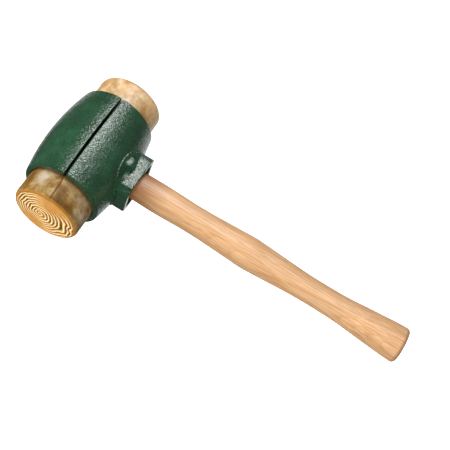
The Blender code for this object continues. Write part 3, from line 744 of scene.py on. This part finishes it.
def enamel_on_cast_iron():
    """Green enamel brushed on a sand casting: a soft gloss broken up by pebbles about 1.5 mm across."""
    made, tree, shader = start_material("green_enamel_on_cast_iron", IOR=1.5, Coat_Weight=1.0,
                                        Coat_Roughness=0.2)
    where = object_place(tree)
    patches = grain(tree, where, 22 * MM, 3, 0.55)
    pebbles = grain(tree, object_place(tree, scale=(0.6, 0.6, 1.4)), PEBBLE_SIZE, 1.5, 0.45)
    sand = grain(tree, where, 0.9 * MM, 2, 0.5)
    green = ramp(tree, patches, [(0.30, "#183823"), (0.52, "#1D432B"), (0.72, "#254F36")])
    green = mix(tree, span(tree, pebbles, 0.30, 0.45, 0.5, 0.0), green, "#0A2114")
    tree.links.new(green, shader.inputs["Base Color"])
    tree.links.new(span(tree, grain(tree, where, 7 * MM, 3), 0.3, 0.7, 0.22, 0.34),
                   shader.inputs["Roughness"])
    height = maths(tree, "ADD", pebbles, maths(tree, "MULTIPLY", sand, 0.15))
    relief = bump(tree, height, 0.78 * MM)
    tree.links.new(relief, shader.inputs["Normal"])
    tree.links.new(relief, shader.inputs["Coat Normal"])
    return made


def raw_cast_iron_and_shade():
    """The unpainted inside of the castings: matt scale with a sandy grain, coloured near black as painted
    shade so that the slot and pockets look black.
    """
    made, tree, shader = start_material("raw_cast_iron_and_shade", IOR=1.45, Specular_IOR_Level=0.2)
    where = object_place(tree)
    scale = grain(tree, where, 6 * MM, 4, 0.6)
    sand = grain(tree, where, 0.8 * MM, 3, 0.6)
    # Painted shade: the iron is coloured near black.
    iron = ramp(tree, scale, [(0.3, "#050505"), (0.55, "#0A0A09"), (0.75, "#120F0C")])
    tree.links.new(iron, shader.inputs["Base Color"])
    tree.links.new(span(tree, scale, 0.3, 0.7, 0.75, 0.9), shader.inputs["Roughness"])
    tree.links.new(bump(tree, sand, 0.35 * MM), shader.inputs["Normal"])
    return made


def rolled_rawhide(name, pale):
    """Rawhide, rolled wet and dried hard: amber where thick, chalky where dry, dark in its seam.

    The pale one is fresh and glossier; on the other the varnish is worn dull over its stains, and its
    strongest pale patch is a painted highlight. Painted shade darkens the hide under the slot and just
    past the barrel's rim. The striking end shows the cut wraps, cream on their crests and dark brown
    in the gaps, deepened by painted shade where the wraps gape.
    """
    made, tree, shader = start_material(name, IOR=1.5, Coat_Weight=0.35 if pale else 0.0,
                                        Coat_Roughness=0.3, Specular_IOR_Level=0.4 if pale else 0.15,
                                        Subsurface_Weight=0.06, Subsurface_Scale=2 * MM)
    where = object_place(tree)
    clouds = grain(tree, where, 15 * MM, 6, 0.62, 0.2)
    stains = grain(tree, object_place(tree, (0.31, 0.7, 0.2)), 13 * MM, 4, 0.55, 0.3)
    fibres = grain(tree, object_place(tree, scale=(1.0, 1.0, 3.0)), 1.6 * MM, 4, 0.6)
    if pale:
        hide = ramp(tree, clouds, [(0.34, "#A67E4C"), (0.48, "#C4A275"), (0.64, "#DCC6A2")])
        hide = mix(tree, span(tree, stains, 0.50, 0.66, 0.0, 0.65), hide, "#8E6638")
    else:
        blotches = grain(tree, object_place(tree, (0.5, 0.1, 0.3)), 4.5 * MM, 4, 0.6)
        hide = ramp(tree, clouds, [(0.34, "#654413"), (0.46, "#815F2C"), (0.56, "#957A47"),
                                   (0.68, "#AE9970")])
        hide = mix(tree, span(tree, stains, 0.50, 0.66, 0.0, 0.7), hide, "#6B4712")
        hide = mix(tree, span(tree, blotches, 0.54, 0.66, 0.0, 0.65), hide, "#5A3A12")
        hide = mix(tree, span(tree, blotches, 0.46, 0.34, 0.0, 0.45), hide, "#AD9A78")
        # Pale patches: chalky hide, and the one at 2.05 radians a painted highlight.
        hide = mix(tree, attribute(tree, "dry"), hide, "#AEA28A")
        hide = mix(tree, attribute(tree, "brown"), hide, "#54350C")
    hide = mix(tree, span(tree, fibres, 0.35, 0.65, 0.0, 0.2), hide, "#8A6430")
    # Painted shade: dark brown just past the barrel's rim.
    hide = mix(tree, maths(tree, "MULTIPLY", attribute(tree, "rim"), 0.6), hide, "#4A2E0C")
    hide = mix(tree, maths(tree, "MULTIPLY", attribute(tree, "seam"), 0.85), hide, "#4E2F0E")
    # Painted shade: near black where the hide lies under the slot inside the barrel.
    hide = mix(tree, attribute(tree, "grime"), hide, "#070605")
    crest, groove, gape = (attribute(tree, n) for n in ("crest", "groove", "gape"))
    streak = grain(tree, where, 3.5 * MM, 3, 0.6)
    cut = mix(tree, span(tree, streak, 0.35, 0.65), "#C98A3C", "#D89E54")
    bright = maths(tree, "MULTIPLY", span(tree, crest, 0.25, 0.85), span(tree, gape, 0.15, 0.5, 0.1, 1.0))
    cut = mix(tree, bright, cut, "#FFF2BE")
    cut = mix(tree, attribute(tree, "lip"), cut, "#966526")
    # The gaps between wraps: a dark joint, deepened by painted shade where the wraps gape.
    cut = mix(tree, span(tree, groove, 0.08, 0.55), cut, "#9A5E18")
    cut = mix(tree, span(tree, groove, 0.45, 0.9, 0.0, 0.95), cut, "#452506")
    tree.links.new(mix(tree, attribute(tree, "face"), hide, cut), shader.inputs["Base Color"])
    tree.links.new(span(tree, stains, 0.3, 0.7, 0.40, 0.55), shader.inputs["Roughness"])
    fine = bump(tree, fibres, 0.12 * MM)
    tree.links.new(bump(tree, clouds, 0.5 * MM, fine), shader.inputs["Normal"])
    return made


def turned_hickory(name, light, dark):
    """Hickory, turned and sanded, thin clear finish: rings 1.5 mm apart round a pith outside the
    handle, long fibres, open pores, and darker next to the head and on the butt's edge."""
    made, tree, shader = start_material(name, IOR=1.5, Coat_Weight=0.2, Coat_Roughness=0.35)
    wander = grain(tree, object_place(tree, scale=(0.16, 1.0, 1.0)), 18 * MM, 2, 0.5)
    parts = add(tree, "ShaderNodeSeparateXYZ", Vector=object_place(tree, (0.0, -0.030, MIDDLE - 0.034)))
    y = maths(tree, "ADD", parts.outputs["Y"], maths(tree, "MULTIPLY", wander, 0.005))
    slant = maths(tree, "ADD", y, maths(tree, "MULTIPLY", parts.outputs["X"], 0.02))
    pith = maths(tree, "SQRT", maths(tree, "ADD", maths(tree, "MULTIPLY", slant, slant),
                                     maths(tree, "MULTIPLY", parts.outputs["Z"], parts.outputs["Z"])))
    ring = maths(tree, "FRACT", maths(tree, "DIVIDE", pith, RING_SPACING))
    late = maths(tree, "POWER", ring, 3.0)
    pores = grain(tree, object_place(tree, scale=(0.04, 1.0, 1.0)), 0.9 * MM, 2, 0.6)
    fibre = grain(tree, object_place(tree, scale=(0.03, 1.0, 1.0)), 1.8 * MM, 5, 0.65)
    tint = grain(tree, object_place(tree, scale=(0.25, 1.0, 1.0)), 16 * MM, 3, 0.5)
    wood = mix(tree, span(tree, fibre, 0.34, 0.66), light, dark)
    wood = mix(tree, span(tree, tint, 0.35, 0.7, 0.0, 0.35), wood, "#C9A882")
    wood = mix(tree, maths(tree, "MULTIPLY", late, span(tree, tint, 0.35, 0.65, 0.2, 0.55)), wood, "#A9743F")
    wood = mix(tree, maths(tree, "MULTIPLY", span(tree, pores, 0.58, 0.70), 0.5), wood, "#8F5C2E")
    run = add(tree, "ShaderNodeSeparateXYZ", Vector=object_place(tree)).outputs["X"]
    # Darker next to the head and on the butt's edge.
    grime = maths(tree, "MAXIMUM", span(tree, run, BAND_END + 34 * MM, BAND_END, 0.0, 0.75),
                  span(tree, run, BUTT - 5 * MM, BUTT - 0.5 * MM, 0.0, 0.4))
    wood = mix(tree, grime, wood, "#9C7148", "MULTIPLY")
    tree.links.new(wood, shader.inputs["Base Color"])
    tree.links.new(span(tree, fibre, 0.3, 0.7, 0.42, 0.56), shader.inputs["Roughness"])
    tree.links.new(bump(tree, maths(tree, "ADD", pores, fibre), 0.06 * MM), shader.inputs["Normal"])
    return made


def plain_steel(name, base, dark, roughness, turned_way):
    """Bare or blackened steel with fine machining lines and small stains."""
    made, tree, shader = start_material(name, Metallic=1.0)
    where = object_place(tree)
    lines = grain(tree, object_place(tree, scale=turned_way), 0.5 * MM, 3, 0.6)
    stains = grain(tree, where, 3 * MM, 4, 0.6)
    tree.links.new(mix(tree, span(tree, stains, 0.4, 0.7), base, dark), shader.inputs["Base Color"])
    tree.links.new(span(tree, stains, 0.3, 0.7, roughness, roughness + 0.2), shader.inputs["Roughness"])
    tree.links.new(bump(tree, lines, 0.03 * MM), shader.inputs["Normal"])
    return made


# ---------------------------------------------------------------- dressing the pieces
def dress(piece, material, body, node, angle):
    """Gives a finished piece its material, smooth shading and body, and hides the CAD node it stands for."""
    piece.data.materials.clear()
    piece.data.materials.append(material)
    shade(piece, angle)
    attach(piece, body)
    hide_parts(node)


def bare_inside(casting, material):
    """Faces whose centres lie deeper than the paint reaches take the unpainted material, near black as
    painted shade.
    """
    mesh = casting.data
    centres = np.empty(len(mesh.polygons) * 3)
    mesh.polygons.foreach_get("center", centres)
    x, y, z = centres.reshape(-1, 3).T
    along = z - MIDDLE
    deep = barrel_radius(along) - np.hypot(x, y) > PAINT_REACH
    deep &= np.abs(along) < BARREL_HALF - 0.6 * MM
    mesh.materials.append(material)
    mesh.polygons.foreach_set("material_index", deep.astype(np.int32))


def refinish(node, material):
    """A CAD node that keeps its shape gets the better material in every slot."""
    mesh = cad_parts[node].data
    mesh.materials.clear()
    mesh.materials.append(material)


green, raw_iron_and_shade = enamel_on_cast_iron(), raw_cast_iron_and_shade()
for casting, body in ((build_base(), "base"), (build_cap(), "cap")):
    dress(casting, green, body, "head_" + body, 38)
    bare_inside(casting, raw_iron_and_shade)

# A pale or brown patch on the hide: its angle, then in millimetres its reach round the roll, its
# distance past the barrel's rim and its reach along the roll, and last its strength. Pale patches are
# chalky hide, but the front one at 2.05 radians is a painted highlight.
FRONT_ROLL = {"centre": (-6.0 * MM, -2.4 * MM), "gape_angle": math.radians(-22), "seam_angle": math.pi / 2,
              "turn": 1, "wraps": 10, "seed": 3, "seam_lean": -0.055, "end": 1,
              "dry": [(2.05, 7, 8, 8, 1.0), (0.75, 9, 8, 6, 0.5), (0.4, 6, 16, 6, 0.6),
                      (-2.0, 9, 10, 7, 0.8)],
              "brown": [(1.36, 5, 14, 14, 0.9), (1.0, 14, 24, 4, 0.9), (2.55, 8, 14, 14, 0.6),
                        (-0.9, 9, 10, 9, 0.8)]}
REAR_ROLL = {"centre": (3.0 * MM, 4.5 * MM), "gape_angle": math.radians(140), "seam_angle": -1.9,
             "turn": -1, "wraps": 10, "seed": 31, "seam_lean": 0.03, "end": -1,
             "dry": [(-1.0, 9, 12, 7, 0.5)], "brown": [(2.6, 9, 10, 9, 0.5)]}
dress(build_roll("rolled_rawhide_front", FRONT_ROLL), rolled_rawhide("varnished_rawhide", False),
      "face_front", "rawhide_face_front", 60)
dress(build_roll("rolled_rawhide_rear", REAR_ROLL), rolled_rawhide("pale_rawhide", True),
      "face_rear", "rawhide_face_rear", 60)

dress(build_handle(), turned_hickory("hickory", "#DDB287", "#BB8858"), "base", "handle", 45)
refinish("wood_wedge", turned_hickory("maple_wedge", "#E3C59B", "#CFA878"))
bare = plain_steel("bare_steel", "#8C8A86", "#5E5348", 0.35, (0.05, 1.0, 1.0))
black = plain_steel("black_oxide_steel", "#1E1E20", "#2A2623", 0.38, (1.0, 1.0, 0.1))
for name in ("steel_wedge_front", "steel_wedge_rear"):
    refinish(name, bare)
for word, along, low_x, high_x in screw_places():
    dress(build_screw(word, along, low_x, high_x), black, "screw_" + word, "clamp_screw_" + word,
          30)
    dress(build_washer(word), bare, "cap", "lock_washer_" + word, 50)

# ---------------------------------------------------------------- floor, light and camera
CAMERA_PLACE = Vector((0.1796, 0.8562, MIDDLE + 0.4784))
CAMERA_AIM = Vector((0.1490, 0.0024, MIDDLE - 0.0119))
CAMERA_ROLL = math.radians(-147.6)
CAMERA_LENS = 80.07
FLOOR_REACH = 6.0


def build_floor():
    """A pale studio floor, wide enough to fill the view.

    It is seen by the camera only, and throws no shadow, because the streak and rim lights
    stand below its level and shine up through it.
    """
    corners = [(x * FLOOR_REACH, y * FLOOR_REACH, 0) for x, y in ((-1, -1), (1, -1), (1, 1), (-1, 1))]
    mesh = bpy.data.meshes.new("studio_floor")
    mesh.from_pydata(corners, [], [(0, 1, 2, 3)])
    floor = bpy.data.objects.new("studio_floor", mesh)
    bpy.context.scene.collection.objects.link(floor)
    paper = start_material("pale_paper", Base_Color="#F2F2F2", Roughness=0.9,
                           Emission_Color="#FFFFFF", Emission_Strength=0.9)[0]
    mesh.materials.append(paper)
    floor.visible_glossy = False
    floor.visible_diffuse = False
    floor.visible_shadow = False


def add_light(name, place_at, aim, wide, tall, power, glossy=True):
    """A soft box that faces its aim; a fill light isn't seen in glossy surfaces."""
    lamp = bpy.data.lights.new(name, "AREA")
    lamp.shape = "RECTANGLE"
    lamp.size = wide
    lamp.size_y = tall
    lamp.energy = power
    box = bpy.data.objects.new(name, lamp)
    box.visible_glossy = glossy
    box.location = place_at
    box.rotation_euler = (Vector(aim) - Vector(place_at)).to_track_quat("-Z", "Y").to_euler()
    bpy.context.scene.collection.objects.link(box)


build_floor()
world = bpy.data.worlds.new("studio")
world.use_nodes = True
world.node_tree.nodes["Background"].inputs["Color"].default_value = (1.0, 1.0, 1.0, 1.0)
world.node_tree.nodes["Background"].inputs["Strength"].default_value = 0.09
bpy.context.scene.world = world
head = (0.0, 0.0, MIDDLE)
add_light("streak", (-0.07, 0.87, -0.40), head, 0.36, 0.8, 9.5)
add_light("glint", (0.42, 0.84, 0.02), head, 0.26, 0.30, 1.1)
add_light("top", (0.3, 0.55, 1.05), (0.12, 0.0, MIDDLE), 0.9, 0.7, 10.5, False)
add_light("left", (-1.0, 0.3, 0.45), head, 0.9, 0.9, 17, False)
add_light("rim", (0.0, -0.85, -0.6), head, 1.4, 0.8, 3.2)
add_light("back", (0.5, -1.3, 0.35), head, 1.6, 1.0, 12, False)

camera = bpy.data.objects.new("camera", bpy.data.cameras.new("camera"))
bpy.context.scene.collection.objects.link(camera)
camera.data.lens = CAMERA_LENS
camera.data.clip_start = 0.01
camera.location = CAMERA_PLACE
level = (CAMERA_AIM - CAMERA_PLACE).to_track_quat("-Z", "Y").to_matrix().to_4x4()
camera.rotation_euler = (level @ Matrix.Rotation(CAMERA_ROLL, 4, "Z")).to_euler()
bpy.context.scene.camera = camera
bpy.context.scene.view_settings.view_transform = "Standard"
